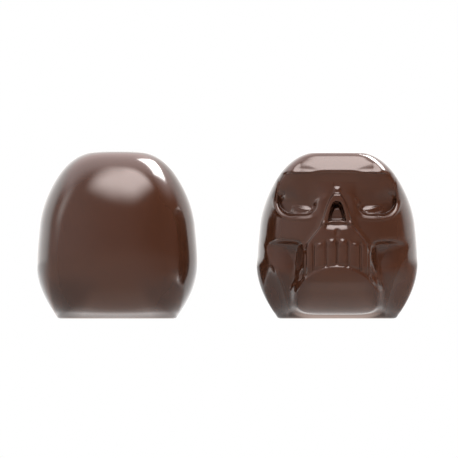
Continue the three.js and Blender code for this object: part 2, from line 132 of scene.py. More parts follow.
def half_width(z):
    return np.interp(z, OUTLINE[:, 1], OUTLINE[:, 0])


def through(knots, steps=400):
    """A smooth curve through a few (depth, height) knots."""
    k = np.array(knots, float)
    p = np.linspace(0, len(k) - 1, steps + 1)
    i = np.minimum(p.astype(int), len(k) - 2)
    w = (p - i)[:, None]
    p0, p1 = k[np.maximum(i - 1, 0)], k[i]
    p2, p3 = k[i + 1], k[np.minimum(i + 2, len(k) - 1)]
    v0, v1 = (p2 - p0) / 2, (p3 - p1) / 2
    return (2 * p1 - 2 * p2 + v0 + v1) * w ** 3 + (-3 * p1 + 3 * p2 - 2 * v0 - v1) * w * w + v0 * w + p1


# ---- depth of the plain halves ----
def fillet_loss(z):
    a = np.clip((NECK_FILLET - z) / NECK_FILLET, 0, 1)
    return NECK_FILLET * (1 - np.sqrt(1 - a * a))


def back_profile(z):
    up = np.maximum(z - BACK.crest, 0) / (HEIGHT + BACK.crown_over - BACK.crest)
    down = np.maximum(BACK.crest - z, 0) / BACK.crest
    over = BACK_DEPTH * arch(up, BACK.crown_power)
    under = BACK_DEPTH - BACK_NECK_LOSS * down ** BACK.neck_power
    return np.where(z >= BACK.crest, over, under) - fillet_loss(z)


def back_depth(x, z):
    return back_profile(z) * arch(x / half_width(z), BACK_POWER)


FRONT_CURVE = through([
    (FACE_DEPTH - FACE_NECK_LOSS, 0), (FACE_DEPTH - 2.1, 0.06 * HEIGHT), (FACE_DEPTH - 0.95, 0.16 * HEIGHT),
    (FACE_DEPTH - 0.25, 0.31 * HEIGHT), (FACE_DEPTH, 0.5 * HEIGHT), (FACE_DEPTH, 0.65 * HEIGHT),
    (FACE_DEPTH - 0.15, 0.8 * HEIGHT), (FACE_DEPTH - 0.6, HEIGHT)])
FOREHEAD_CURVE = through([
    (FACE_DEPTH + 1.3, FOREHEAD.foot), (FACE_DEPTH + 0.35, 0.85 * HEIGHT),
    (FACE_DEPTH - 0.45, 0.886 * HEIGHT), (FACE_DEPTH - 1.15, 0.92 * HEIGHT),
    (FACE_DEPTH - 1.95, 0.952 * HEIGHT), (FACE_DEPTH - 2.9, 0.982 * HEIGHT),
    (FACE_DEPTH - 4.3, 0.995 * HEIGHT), (FACE_DEPTH - 9.5, HEIGHT)])


def face_profile(z):
    front = np.interp(z, FRONT_CURVE[:, 1], FRONT_CURVE[:, 0])
    top = np.interp(z, FOREHEAD_CURVE[:, 1], FOREHEAD_CURVE[:, 0])
    return np.where(z < FOREHEAD.foot, front, soft_min(front, top, FOREHEAD.blend)) - fillet_loss(z)


def ridge_at(z):
    """Half width at which the flat side of the lower jaw starts."""
    return RIDGE.foot + RIDGE.spread * np.clip(z / RIDGE.top, 0, 1) ** RIDGE.power


def plain_face_depth(x, z):
    half, front = half_width(z), face_profile(z)
    oval_side = front * arch(x / half, FACE_POWER + FOREHEAD.squarer * ramp(*FOREHEAD.squaring, z))
    # lower jaw: straight flanks from the ridge out to a short wall at the rim
    ridge = ridge_at(z)
    off = np.abs(x) - ridge
    flank = front * arch(ridge / half, FACE_POWER) - FLANK.slope * np.maximum(off, 0)
    return mix(oval_side, flank * arch(x / half, FLANK.power), ramp(*FLANK.edge, off) * ramp(*FLANK.top, z))


# ---- relief of the face ----
# All in mm: a counts from the middle and z up from the neck. A pair says where a form starts and where it is
# whole. A table holds (height, value) from low to high.
BROW = Sizes(z=29.38, drop_from=8.6, drop=0.0105, lift=0.1, lift_at=1.3, lift_half=0.45)
EYE_RIDGE = Sizes(start=2.5, reach=4.8, rise=0.41, steepness=0.1, rounding=0.04,
                  foot=(-0.1, 0.1), top=(3.2, 2.2), inside=(1.5, 3.0), outside=(9.6, 7.2))
BROW_ROLL = Sizes(height=0.1, above=0.08, half=0.2, widens=0.05, widens_from=5, widens_for=4,
                  inside=(2.6, 4.0), outside=(10.0, 8.4))
SOCKET = Sizes(step=0.5, slope=0.175, foot=7.3, low=(26.0, 22.6), nose_side=(6.0, 3.9),
               temple_from=(13.3, 12.8), temple_to=(9.6, 12.0))
SILL = Sizes(x=7.9, z=24.5, half_width=4.5, half_height=4.3, power=2.5, nose_power=3.4,
             edge=(1.07, 0.86), nose_edge=(1.12, 0.66), opens=(23.0, 27.5))
RING = Sizes(x=7.1, z=24.2, half_width=3.4, half_height=3.3, power=2.5, edge=(1.04, 0.9), share=0.48,
             widens=2.0, widening=(22.3, 26.0), soft=0.55, softening=(21.8, 23.3), nose_soft=0.2,
             fades_up=(21.4, 24.6), fades_out=(7.8, 9.8))
SHELF = Sizes(x=6.7, half_width=2.5, height=0.66, top=22.68, drop=2.0, slope=0.72, tilt=0.3, level_at=6.2)
BOWL = Sizes(x=6.4, z=24.6, half_width=3.6, half_height=3.3, power=2.3, depth=0.07,
             edge=(1.12, 0.78), foot=(20.9, 22.3))
BEAD = Sizes(height=0.14, at=1.09, half=0.055, top=(24.0, 23.2), temple=0.12, temple_at=11.5, temple_half=0.9)
COLUMN_HALF = ((8.0, 6.7), (11.0, 6.6), (13.6, 6.4), (15.1, 5.8), (16.8, 4.5), (18.2, 3.45), (18.9, 3.15),
               (20.1, 2.7), (22.1, 2.15), (23.7, 1.5), (24.9, 0.75), (25.3, 0.6))
COLUMN_CREST = ((0.5, 0.0), (5.0, 0.45), (8.0, 0.8), (10.5, 1.05), (13.0, 1.12), (15.5, 1.08), (17.5, 0.98),
                (19.3, 0.85), (20.5, 0.82), (22.0, 0.7), (24.0, 0.5), (24.75, 0.38), (25.1, -0.27),
                (25.5, -0.36), (25.9, -0.42), (26.5, -0.76), (27.2, -0.78), (28.4, -0.66), (29.1, -0.5),
                (29.6, 0), (30.5, 0))
NOSE_ROOT = ((18.5, 0.4), (20.0, 0.26), (21.5, 0.08), (23.0, -0.16), (24.5, -0.42), (26.0, -0.68),
             (27.2, -0.78))
COLUMN = Sizes(step=0.48, into_root=(19.0, 21.0), least_half=1.4, overlap=0.1, edge=(0.22, -0.25),
               flank=1.3, flank_widens=3.4, widening=(20.0, 24.0), foot=(9.0, 12.0),
               round_off=0.5, round_half=8.4, rounding=(18.5, 15.0))
BRIDGE_DIP = Sizes(depth=0.4, half_width=1.2, z=26.2, half_height=0.7)
JAW_SHELF = Sizes(groove=0.52, arch=0.09, wall=(19.5, 19.05), foot=17.5, foot_arch=0.05, length=1.15,
                  power=1.3, sides=(3.3, 2.0))
NOTCH = Sizes(z=17.2, half_width=0.4, half_height=0.6, depth=0.26)
FRAME_FOOT = Sizes(x=2.65, z=18.95, half_width=0.4, half_height=0.55, height=0.38)
OPENING = Sizes(top=23.45, span=3.6, half_width=1.7, power=0.4, edge=(0.2, -0.35), closes=(23.5, 23.3),
                sill=(19.2, 19.75), sill_slant=0.12, slant_from=1.1)
OPENING_DEPTH = ((19.0, 2.0), (20.5, 2.2), (22.5, 2.5), (23.6, 2.7))
PLATE = Sizes(top=22.9, span=3.0, half_width=1.45, power=0.6, height=0.7, edge=(0.15, -0.25),
              closes=(23.0, 21.9), tip=0.6, tip_at=21.9, tip_half=0.9)
CHEEK_OUT = ((4.0, 8.8), (6.7, 9.9), (8.1, 10.9), (11.3, 12.8), (12.8, 13.6), (15.5, 14.8))
CHEEK_IN = ((4.0, 8.6), (7.5, 7.8), (10.0, 6.8), (13.5, 6.2), (16.0, 6.4))
CHEEK = Sizes(depth=1.8, in_roll=2.2, out_roll=4.4, out_gap=0.3, top=(16.3, 12.9), tilt=0.1, level_at=9.5,
              foot=(4.0, 7.5))
CHEEKBONE = Sizes(step=0.6, edge=(15.9, 14.7), bend=0.03, middle=10, inside=(6.6, 8.2), outside=(14.3, 12.6),
                  fade_foot=6.5, fade_length=8)
BLOCK = Sizes(z=5.2, half_width=8.15, up=5.4, down=4.4, up_power=1.8, down_power=5.0,
              merge=(1.02, 0.92), merge_top=(9.6, 9.0))
BLOCK_EDGE = Sizes(proud=0.3, edge=(1.03, 0.95), sides=(5.2, 7.5), fades=(-2.0, 9.0),
                   groove=0.12, groove_at=1.045, groove_half=0.025, groove_sides=(5.2, 8.5))
TEETH = Sizes(edges=(0, 2.2, 4.7, 6.3, 8.3), bulge=0.17, gap=0.24, gap_half=0.2, top=16.0, roll=(0.3, -0.7),
              slant=0.3, slant_from=1.1, slant_for=3, block_gap=(1, 1.05), outside=(7.2, 6.4),
              foot=(5.2, 7.2))
ROOTS = (Sizes(x=1.15, z=15.1, half_width=1.1, half_height=1.0, height=0.22),
         Sizes(x=3.7, z=14.5, half_width=1.0, half_height=0.8, height=0.16))
JAW_FALL = ((0.0, 2.3), (1.2, 2.3), (3.3, 2.1), (5.3, 1.75), (7.0, 1.3), (8.5, 0.6), (10.0, 0.05),
            (11.0, 0.0))
JAW_SIDE = Sizes(crest=0.3, crest_edge=(-0.7, 0.2), crest_top=(10.5, 7.5), beside_block=(0.97, 1.2),
                 reach=(4.2, 0.4), line=0.16, line_half=0.22, line_top=(11.5, 9.5), line_foot=(1, 3))
RELIEF_FADE = (0.6, 4.0)   # depths of the plain shell between which the relief comes in behind the rim


def shape_through(z, table):
    """A value that runs smoothly through a table."""
    k = np.array(table, float)
    t = np.interp(z, k[:, 0], np.arange(len(k)))
    i = np.minimum(t.astype(int), len(k) - 2)
    w = t - i
    v = k[:, 1]
    p0, p1, p2, p3 = v[np.maximum(i - 1, 0)], v[i], v[i + 1], v[np.minimum(i + 2, len(k) - 1)]
    a, b = (p2 - p0) / 2, (p3 - p1) / 2
    return (2 * p1 - 2 * p2 + a + b) * w ** 3 + (3 * p2 - 3 * p1 - 2 * a - b) * w * w + a * w + p1


def lip(start, end, v):
    """0 before start, rolling over an edge down to 1 at end."""
    t = np.clip((v - start) / (end - start), 0, 1)
    return 1 - np.sqrt(1 - t * t)


def brow_edge(a):
    """Height of the brow's lower edge."""
    drop = BROW.drop * np.maximum(a - BROW.drop_from, 0) ** 3
    return BROW.z - drop + BROW.lift * bell(a - BROW.lift_at, BROW.lift_half)


def brow_ridges(a, z):
    """Over each eye the forehead starts steeper, above a thin roll along the brow."""
    above = z - brow_edge(a)
    start = EYE_RIDGE.rise * np.clip(a - EYE_RIDGE.start, 0, EYE_RIDGE.reach) * ramp(*EYE_RIDGE.outside, a)
    gap = start - above
    steep = EYE_RIDGE.steepness * (gap + np.sqrt(gap * gap + EYE_RIDGE.rounding))
    steep = steep * ramp(*EYE_RIDGE.foot, above) * ramp(*EYE_RIDGE.inside, a) * ramp(*EYE_RIDGE.top, above)
    half = BROW_ROLL.half + BROW_ROLL.widens * np.clip(a - BROW_ROLL.widens_from, 0, BROW_ROLL.widens_for)
    roll = BROW_ROLL.height * bell(above - BROW_ROLL.above, half)
    return roll * ramp(*BROW_ROLL.inside, a) * ramp(*BROW_ROLL.outside, a) - steep


def eye_sockets(a, z):
    down = brow_edge(a) - z
    depth = SOCKET.step * ramp(0, SOCKET.step, down) + SOCKET.slope * np.clip(down, 0, SOCKET.foot)
    low = ramp(*SOCKET.low, z)
    temple = ramp(mix(*SOCKET.temple_from, low), mix(*SOCKET.temple_to, low), a)
    to_nose = ramp(*SOCKET.nose_side, a)

    # outer sill: an oval below, open towards the brow and the bridge
    is_near = a < SILL.x
    opened = np.where(is_near, SILL.x - (SILL.x - a) * (1 - ramp(*SILL.opens, z)), a)
    rim = oval(opened, np.minimum(z, SILL.z), SILL, power=np.where(is_near, SILL.nose_power, SILL.power))
    outer_sill = mix(lip(*SILL.edge, rim), ramp(*SILL.nose_edge, rim), to_nose)

    # inner sill, and the shelf that catches the lamp
    ring = oval(a, np.minimum(z, RING.z), RING, wider=RING.widens * ramp(*RING.widening, z))
    soft = RING.soft * ramp(*RING.softening, z) + RING.nose_soft * to_nose
    start, end = RING.edge
    inner_sill = mix(lip(start, end, ring), ramp(start + soft, end - soft, ring), soft)
    inner_share = RING.share * (1 - np.maximum(ramp(*RING.fades_up, z), ramp(*RING.fades_out, a)))
    rise = SHELF.slope * np.clip(SHELF.top - z, 0, SHELF.drop) * (1 + SHELF.tilt * (a - SHELF.level_at))
    shelf = np.minimum(rise, SHELF.height * np.clip(1 - ((a - SHELF.x) / SHELF.half_width) ** 2, 0, 1))

    layers = outer_sill * mix(1, inner_sill, inner_share)
    bead = BEAD.height + BEAD.temple * bell(a - BEAD.temple_at, BEAD.temple_half)
    bead = bead * bell(rim - BEAD.at, BEAD.half) * ramp(*BEAD.top, z) * (1 - to_nose)
    bowl = BOWL.depth * ramp(*BOWL.edge, oval(a, z, BOWL)) * ramp(*BOWL.foot, z)
    return bead + (shelf * inner_sill - depth * layers) * temple - bowl


def middle_column(a, z, around):
    """Bridge, nose opening's frame and upper jaw, merged into the relief around them."""
    half = shape_through(z, COLUMN_HALF)
    dip = BRIDGE_DIP.depth * (1 - bell(a, BRIDGE_DIP.half_width))
    dip = dip * bell(z - BRIDGE_DIP.z, BRIDGE_DIP.half_height)
    up_shelf = np.clip((z - JAW_SHELF.foot_arch * a * a - JAW_SHELF.foot) / JAW_SHELF.length, 0, 1)
    groove = JAW_SHELF.groove * up_shelf ** JAW_SHELF.power * ramp(*JAW_SHELF.sides, a)
    groove = groove * ramp(*JAW_SHELF.wall, z + JAW_SHELF.arch * a * a)
    crest = shape_through(z, COLUMN_CREST) - dip - groove
    round_off = COLUMN.round_off * np.clip(a / COLUMN.round_half, 0, 1) ** 2 * ramp(*COLUMN.rounding, z)
    high = crest * (1 - round_off)

    # beside the frame it steps down, and slopes evenly up to the root of the nose
    root_top = NOSE_ROOT[-1][0]
    beside = mix(high - COLUMN.step, shape_through(z, NOSE_ROOT), ramp(*COLUMN.into_root, z))
    beside = np.where(z < root_top, beside, crest)
    wide = np.maximum(half, COLUMN.least_half)
    reach = COLUMN.flank + COLUMN.flank_widens * ramp(*COLUMN.widening, z)
    ground = mix(around, beside, ramp(wide + reach, wide - COLUMN.overlap, a))
    ground = mix(around, ground, ramp(*COLUMN.foot, z))

    in_block = ramp(*BLOCK.merge, block_radius(a, z)) * ramp(*BLOCK.merge_top, z)
    top = np.maximum(ramp(*COLUMN.edge, a - half), in_block)
    foot = FRAME_FOOT.height * hill(a, z, FRAME_FOOT)
    notch = NOTCH.depth * bell(a, NOTCH.half_width) * bell(z - NOTCH.z, NOTCH.half_height)
    return mix(ground, high, top) + foot - notch


def nose_opening(a, z):
    """The hole, with the plate that stands in its middle."""
    half = OPENING.half_width * (np.maximum(OPENING.top - z, 0) / OPENING.span) ** OPENING.power
    sill = lip(*OPENING.sill, z + OPENING.sill_slant * np.maximum(a - OPENING.slant_from, 0))
    inside = ramp(*OPENING.edge, a - half) * sill * ramp(*OPENING.closes, z)
    plate = PLATE.half_width * (np.maximum(PLATE.top - z, 0) / PLATE.span) ** PLATE.power
    lift = PLATE.height + PLATE.tip * bell(z - PLATE.tip_at, PLATE.tip_half)
    lift = lift * ramp(*PLATE.edge, a - plate) * ramp(*PLATE.closes, z)
    return -inside * (shape_through(z, OPENING_DEPTH) - lift)


def cheek_hollow(a, z):
    """The hollow beside the teeth, and the step under the cheekbone."""
    inwards = ramp(0.0, CHEEK.in_roll, a - shape_through(z, CHEEK_IN))
    across = inwards * np.clip((shape_through(z, CHEEK_OUT) + CHEEK.out_gap - a) / CHEEK.out_roll, 0, 1)
    under = ramp(*CHEEK.top, z + CHEEK.tilt * (CHEEK.level_at - a))
    step = CHEEKBONE.step * ramp(*CHEEKBONE.edge, z + CHEEKBONE.bend * (a - CHEEKBONE.middle) ** 2)
    step = step * ramp(*CHEEKBONE.inside, a) * ramp(*CHEEKBONE.outside, a)
    fade = np.clip((z - CHEEKBONE.fade_foot) / CHEEKBONE.fade_length, 0, 1)
    return -CHEEK.depth * across * under * ramp(*CHEEK.foot, z) - step * fade


def block_radius(a, z):
    """1 on the edge of the smooth block under the teeth."""
    up = z > BLOCK.z
    v = np.abs(z - BLOCK.z) / np.where(up, BLOCK.up, BLOCK.down)
    power = np.where(up, BLOCK.up_power, BLOCK.down_power)
    return ((a / BLOCK.half_width) ** power + v ** power) ** (1 / power)


def teeth(a, z):
    top = TEETH.top - TEETH.slant * np.clip(a - TEETH.slant_from, 0, TEETH.slant_for)
    here = ramp(*TEETH.roll, z - top) * ramp(*TEETH.block_gap, block_radius(a, z))
    here = here * ramp(*TEETH.outside, a) * ramp(*TEETH.foot, z)
    crown, groove = 0, 0
    for near, far in zip(TEETH.edges[:-1], TEETH.edges[1:]):
        crown = crown + TEETH.bulge * np.clip(1 - ((a - (near + far) / 2) / ((far - near) / 2)) ** 2, 0, 1)
        groove = np.maximum(groove, TEETH.gap * bell(a - near, TEETH.gap_half))
    roots = sum(r.height * bump(a - r.x, r.half_width) * bump(z - r.z, r.half_height) for r in ROOTS)
    return (crown - groove) * here + roots


def block_lip(a, z):
    r = block_radius(a, z)
    proud = BLOCK_EDGE.proud * lip(*BLOCK_EDGE.edge, r)
    proud = proud * ramp(*BLOCK_EDGE.sides, z) * ramp(*BLOCK_EDGE.fades, z)
    groove = BLOCK_EDGE.groove * bell(r - BLOCK_EDGE.groove_at, BLOCK_EDGE.groove_half)
    return proud - groove * ramp(*BLOCK_EDGE.groove_sides, z)


def jaw_sides(a, z):
    """Beside the block the jaw falls back, most at the neck, up to a crest and a fine line at the ridge."""
    off = a - ridge_at(z)
    crest = JAW_SIDE.crest * ramp(*JAW_SIDE.crest_edge, off) * ramp(*JAW_SIDE.crest_top, z)
    valley = shape_through(z, JAW_FALL) - crest
    valley = valley * ramp(*JAW_SIDE.beside_block, block_radius(a, z)) * ramp(*JAW_SIDE.reach, off)
    line = JAW_SIDE.line * bell(off, JAW_SIDE.line_half)
    return -valley - line * ramp(*JAW_SIDE.line_top, z) * ramp(*JAW_SIDE.line_foot, z)


def face_depth(x, z):
    a = np.abs(x)
    plain = plain_face_depth(x, z)
    relief = middle_column(a, z, eye_sockets(a, z)) + nose_opening(a, z)
    relief = relief + brow_ridges(a, z) + cheek_hollow(a, z) + teeth(a, z) + block_lip(a, z) + jaw_sides(a, z)
    return plain + relief * ramp(*RELIEF_FADE, plain)


# ---- hollow: the outside moved inwards by the wall in every direction ----
BALL_RINGS = (0.2, 0.4, 0.55, 0.68, 0.8, 0.9, 0.97)   # places on a ball of the wall's radius, as shares of it
BALL_SPOKES = 24
HOLLOW_EDGE = 0.15                                    # least depth of the hollow behind its rim


def hollow_half_width(z):
    turns = np.linspace(-0.5, 0.5, BALL_SPOKES + 1) * math.pi
    sides = [half_width(np.clip(z + WALL * math.sin(t), 0, HEIGHT)) - WALL * math.cos(t) for t in turns]
    return np.min(sides, axis=0)


def hollow_depth(outside, x, z):
    depth = outside(x, z) - WALL
    for ring in BALL_RINGS:
        sag = WALL * math.sqrt(1 - ring * ring)
        for k in range(BALL_SPOKES):
            turn = 2 * k / BALL_SPOKES * math.pi
            xx = x + WALL * ring * math.cos(turn)
            zz = np.clip(z + WALL * ring * math.sin(turn), 0, HEIGHT)
            half = half_width(zz)
            there = np.where(np.abs(xx) < half, outside(np.clip(xx, -half, half), zz), 0)
            depth = np.minimum(depth, there - sag)
    return np.maximum(depth, HOLLOW_EDGE)


# ---- grids of points, rows from neck to crown ----
# rows as (height they start at, how many up to the next start)
FACE_ROWS = ((0, 16), (1.5, 62), (14, 105), (30.2, 24), (32.6, 12), (33.1, 12), (HEIGHT, 0))
BACK_ROWS = ((0, 12), (1.5, 60), (24, 60), (HEIGHT, 0))
FACE_COLUMNS, BACK_COLUMNS, HOLLOW_LINES = 361, 161, 84


def spread(spans):
    """Heights with a chosen number of rows in each span."""
    rows = []
    for (low, count), (high, _) in zip(spans[:-1], spans[1:]):
        rows += list(np.linspace(low, high, count, endpoint=False))
    return np.array(rows + [spans[-1][0]])


def skin_grid(rows, columns, half_of, depth_of):
    """Points of a skin. Each row runs from rim to rim, with its points closer together near the rim."""
    u = np.sin(np.linspace(-1, 1, columns) * math.pi / 2)
    x = half_of(rows)[:, None] * u
    z = np.repeat(rows[:, None], columns, 1)
    depth = depth_of(x, z)
    depth[:, 0] = depth[:, -1] = 0
    return np.stack([x, -depth, z], -1)


def hollow_grid(outside):
    z = WALL + (HEIGHT - 2 * WALL) * (0.5 - 0.5 * np.cos(np.linspace(0, math.pi, HOLLOW_LINES)))
    return skin_grid(z, HOLLOW_LINES, hollow_half_width, lambda x, zz: hollow_depth(outside, x, zz))


# ---- short ways to build node trees and place things ----
class Nodes:
    """A node tree, with short ways to add and join its nodes."""

    def __init__(self, tree):
        self.tree = tree

    def add(self, kind, **values):
        node = self.tree.nodes.new(kind)
        for key, value in values.items():
            setattr(node, key, value)
        return node

    def feed(self, socket, value):
        """Link an output into a socket, or give it a value. A colour is three numbers."""
        if isinstance(value, bpy.types.NodeSocket):
            self.tree.links.new(value, socket)
        else:
            socket.default_value = (*value, 1) if socket.type == "RGBA" else value

    def put(self, node, **inputs):
        """Feed inputs by name, with _ for a space."""
        for label, value in inputs.items():
            self.feed(node.inputs[label.replace("_", " ")], value)
        return node

    def join(self, node, *values):
        """Feed the first inputs in turn."""
        for socket, value in zip(node.inputs, values):
            self.feed(socket, value)
        return node.outputs[0]

    def math(self, operation, a, b=0.0):
        return self.join(self.add("ShaderNodeMath", operation=operation), a, b)

    def between(self, factor, low=0.0, high=1.0, start=0.0, end=1.0, kind="LINEAR"):
        """From low where the factor is start, to high where it is end."""
        node = self.add("ShaderNodeMapRange", interpolation_type=kind)
        return self.join(node, factor, start, end, low, high)

    def blend(self, amount, first, second):
        return self.join(self.add("ShaderNodeMixRGB"), amount, first, second)

    def choose(self, where, no, yes):
        return self.join(self.add("ShaderNodeMixShader"), where, no, yes)

    def shades(self, factor, *stops):
        """A colour band, from stops of (place, colour)."""
        node = self.add("ShaderNodeValToRGB")
        band = node.color_ramp.elements
        while len(band) < len(stops):
            band.new(0.5)
        for element, (spot, colour) in zip(band, stops):
            element.position = spot
            element.color = (*colour, 1)
        return self.join(node, factor)


def put_in_scene(name, data):
    thing = bpy.data.objects.new(name, data)
    bpy.context.scene.collection.objects.link(thing)
    return thing


# ---- closed shell of one half ----
OUTSIDE, INSIDE, RIM = range(3)   # material slots


def skin_faces(grid, first, turned):
    """Quads of a grid whose points start at first, and its two end caps. Turned ones face inwards."""
    high, wide = grid.shape[:2]
    j, i = np.meshgrid(np.arange(high - 1), np.arange(wide - 1), indexing="ij")
    a = (first + j * wide + i).ravel()
    quads = np.stack([a, a + 1, a + wide + 1, a + wide], -1)
    low_cap = first + np.arange(wide)[::-1]
    high_cap = first + (high - 1) * wide + np.arange(wide)
    if turned:
        quads, low_cap, high_cap = quads[:, ::-1], low_cap[::-1], high_cap[::-1]
    return quads.tolist(), [low_cap.tolist(), high_cap.tolist()]


def rim_faces(grids, verts):
    """Triangles between the edge of the outside and the edge of the hollow, facing back."""
    loops, ids, first = [], [], 0
    for grid in grids:
        high, wide = grid.shape[:2]
        loop = [first + j * wide + wide - 1 for j in range(high)]
        loop += [first + j * wide for j in reversed(range(high))]
        loops.append([Vector((verts[k][0], verts[k][2], 0)) for k in loop])
        ids += loop
        first += high * wide
    faces = []
    for tri in tessellate_polygon(loops):
        p, q, r = (verts[ids[k]] for k in tri)
        turn = (q[0] - p[0]) * (r[2] - p[2]) - (q[2] - p[2]) * (r[0] - p[0])
        faces.append([ids[k] for k in (tri if turn < 0 else tri[::-1])])
    return faces


def close_shell(name, outer, inner, shift):
    """One closed body: moulded outside, hollow, and the flat rim between them."""
    verts, faces, slots, smooth = [], [], [], []
    for grid, turned, slot in ((outer, False, OUTSIDE), (inner, True, INSIDE)):
        quads, caps = skin_faces(grid, len(verts), turned)
        verts += [tuple(p) for p in grid.reshape(-1, 3)]
        faces += quads + caps
        slots += [slot] * (len(quads) + len(caps))
        smooth += [True] * len(quads) + [False] * len(caps)
    flat = rim_faces((outer, inner), verts)
    faces += flat
    slots += [RIM] * len(flat)
    smooth += [False] * len(flat)
    mesh = bpy.data.meshes.new(name)
    place = np.array(verts) + (shift, RIM_Y, 0)
    mesh.from_pydata([tuple(p * MM) for p in place], [], faces)
    mesh.polygons.foreach_set("material_index", slots)
    mesh.polygons.foreach_set("use_smooth", smooth)
    mesh.update()
    return put_in_scene(name, mesh)


# ---- geometry nodes: a shell arched over a row of stations ----
def arched_shell_tree():
    """Each station holds half width, depth and height of one row. The grid's columns follow a superellipse
    over that row, from rim to rim."""
    tree = bpy.data.node_groups.new("arched shell over stations", "GeometryNodeTree")
    sockets = (("Stations", "Geometry"), ("Rows", "Int"), ("Columns", "Int"), ("Side power", "Float"),
               ("Finish", "Material"))
    for label, kind in sockets:
        tree.interface.new_socket(label, in_out="INPUT", socket_type="NodeSocket" + kind)
    tree.interface.new_socket("Shell", in_out="OUTPUT", socket_type="NodeSocketGeometry")
    n = Nodes(tree)
    given = n.add("NodeGroupInput").outputs

    # a flat grid, with the number of the row and the place across it for each of its points
    grid = n.put(n.add("GeometryNodeMeshGrid"), Size_X=1, Size_Y=2,
                 Vertices_X=given["Rows"], Vertices_Y=given["Columns"])
    index = n.add("GeometryNodeInputIndex").outputs[0]
    row = n.math("FLOOR", n.math("DIVIDE", n.math("ADD", index, 0.5), given["Columns"]))
    position = n.add("GeometryNodeInputPosition").outputs[0]
    where = n.put(n.add("ShaderNodeSeparateXYZ"), Vector=position).outputs["Y"]
    across = n.math("SINE", n.math("MULTIPLY", where, math.pi / 2))

    # the station of that row gives the size of the superellipse
    station = n.put(n.add("GeometryNodeSampleIndex", data_type="FLOAT_VECTOR", domain="POINT"),
                    Geometry=given["Stations"], Value=position, Index=row)
    size = n.put(n.add("ShaderNodeSeparateXYZ"), Vector=station.outputs[0]).outputs
    squared = n.math("POWER", n.math("ABSOLUTE", across), given["Side power"])
    left = n.math("MAXIMUM", n.math("SUBTRACT", 1, squared), 0)
    rise = n.math("POWER", left, n.math("DIVIDE", 1, given["Side power"]))
    point = n.put(n.add("ShaderNodeCombineXYZ"), X=n.math("MULTIPLY", size["X"], across),
                  Y=n.math("MULTIPLY", n.math("MULTIPLY", size["Y"], rise), -1), Z=size["Z"])

    shell = n.put(n.add("GeometryNodeSetPosition"), Geometry=grid.outputs["Mesh"], Position=point.outputs[0])
    shell = n.join(n.add("GeometryNodeRealizeInstances"), shell.outputs[0])
    shell = n.put(n.add("GeometryNodeSetMaterial"), Geometry=shell, Material=given["Finish"])
    n.put(n.add("NodeGroupOutput"), Shell=shell.outputs[0])
    return tree


def back_outside_grid(rows, columns, finish):
    """Points of the back dome, made by the tree above."""
    stations = bpy.data.meshes.new("stations")
    stations.from_pydata(list(zip(half_width(rows), back_profile(rows), rows)), [], [])
    holder = put_in_scene("stations", stations)
    arch_over = holder.modifiers.new("arch over", "NODES")
    arch_over.node_group = tree = arched_shell_tree()
    values = {"Rows": len(rows), "Columns": columns, "Side power": BACK_POWER, "Finish": finish}
    for item in tree.interface.items_tree:
        if item.name in values:
            arch_over[item.identifier] = values[item.name]
    done = holder.evaluated_get(bpy.context.evaluated_depsgraph_get())
    mesh = bpy.data.meshes.new_from_object(done)
    points = np.empty(len(mesh.vertices) * 3)
    mesh.vertices.foreach_get("co", points)
    bpy.data.objects.remove(holder)
    bpy.data.meshes.remove(mesh)
    bpy.data.meshes.remove(stations)
    points = points.reshape(len(rows), columns, 3)
    points[:, [0, -1], 1] = 0   # both edges exactly in the plane of the rim
    return points


# ---- finishes ----
class Finish(Nodes):
    """The node tree of a material, which reads Object coordinates."""

    def __init__(self, name, roughness, ior=1.5):
        self.material = bpy.data.materials.new(name)
        self.material.use_nodes = True
        super().__init__(self.material.node_tree)
        self.shader = self.tree.nodes["Principled BSDF"]
        self.put(self.shader, Roughness=roughness, IOR=ior)
        self.place = self.add("ShaderNodeTexCoord").outputs["Object"]

    def noise(self, scale, detail=2.0, stretch=(1, 1, 1)):
        spot = self.put(self.add("ShaderNodeMapping"), Vector=self.place, Scale=stretch)
        cloud = self.put(self.add("ShaderNodeTexNoise"), Vector=spot.outputs[0], Scale=scale, Detail=detail)
        return cloud.outputs["Fac"]

    def bumps(self, height, strength, distance):
        node = self.put(self.add("ShaderNodeBump"), Height=height, Strength=strength, Distance=distance)
        self.put(self.shader, Normal=node.outputs[0])


def mould_gloss():
    """Snap-glossy skin that a polished mould leaves: faint cloudy tone, nearly even roughness."""
    f = Finish("mould gloss", roughness=0.13, ior=1.56)
    dark, light = (0.034, 0.0122, 0.0058), (0.040, 0.0148, 0.0076)
    f.put(f.shader, Base_Color=f.shades(f.noise(scale=90, detail=3), (0.3, dark), (0.7, light)))
    f.put(f.shader, Roughness=f.between(f.noise(scale=260), low=0.11, high=0.16, start=0.3, end=0.7))
    f.bumps(f.noise(scale=700), strength=0.03, distance=0.1 * MM)
    return f.material


def poured_skin():
    """Inside of the casting: set against air, satin, with soft waves and pin bubbles."""
    f = Finish("poured skin", roughness=0.45)
    waves, grain = f.noise(scale=120, detail=3), f.noise(scale=400, detail=3)
    dark, light = (0.058, 0.022, 0.0125), (0.078, 0.032, 0.019)
    f.put(f.shader, Base_Color=f.shades(waves, (0.3, dark), (0.75, light)))
    f.put(f.shader, Roughness=f.between(grain, low=0.34, high=0.52, start=0.3, end=0.7))
    cells = f.put(f.add("ShaderNodeTexVoronoi"), Vector=f.place, Scale=620.0).outputs["Distance"]
    around_bubbles = f.between(cells, start=0.06, end=0.2)
    height = f.math("ADD", waves, f.between(around_bubbles, high=0.35))
    f.bumps(height, strength=0.35, distance=0.4 * MM)
    return f.material


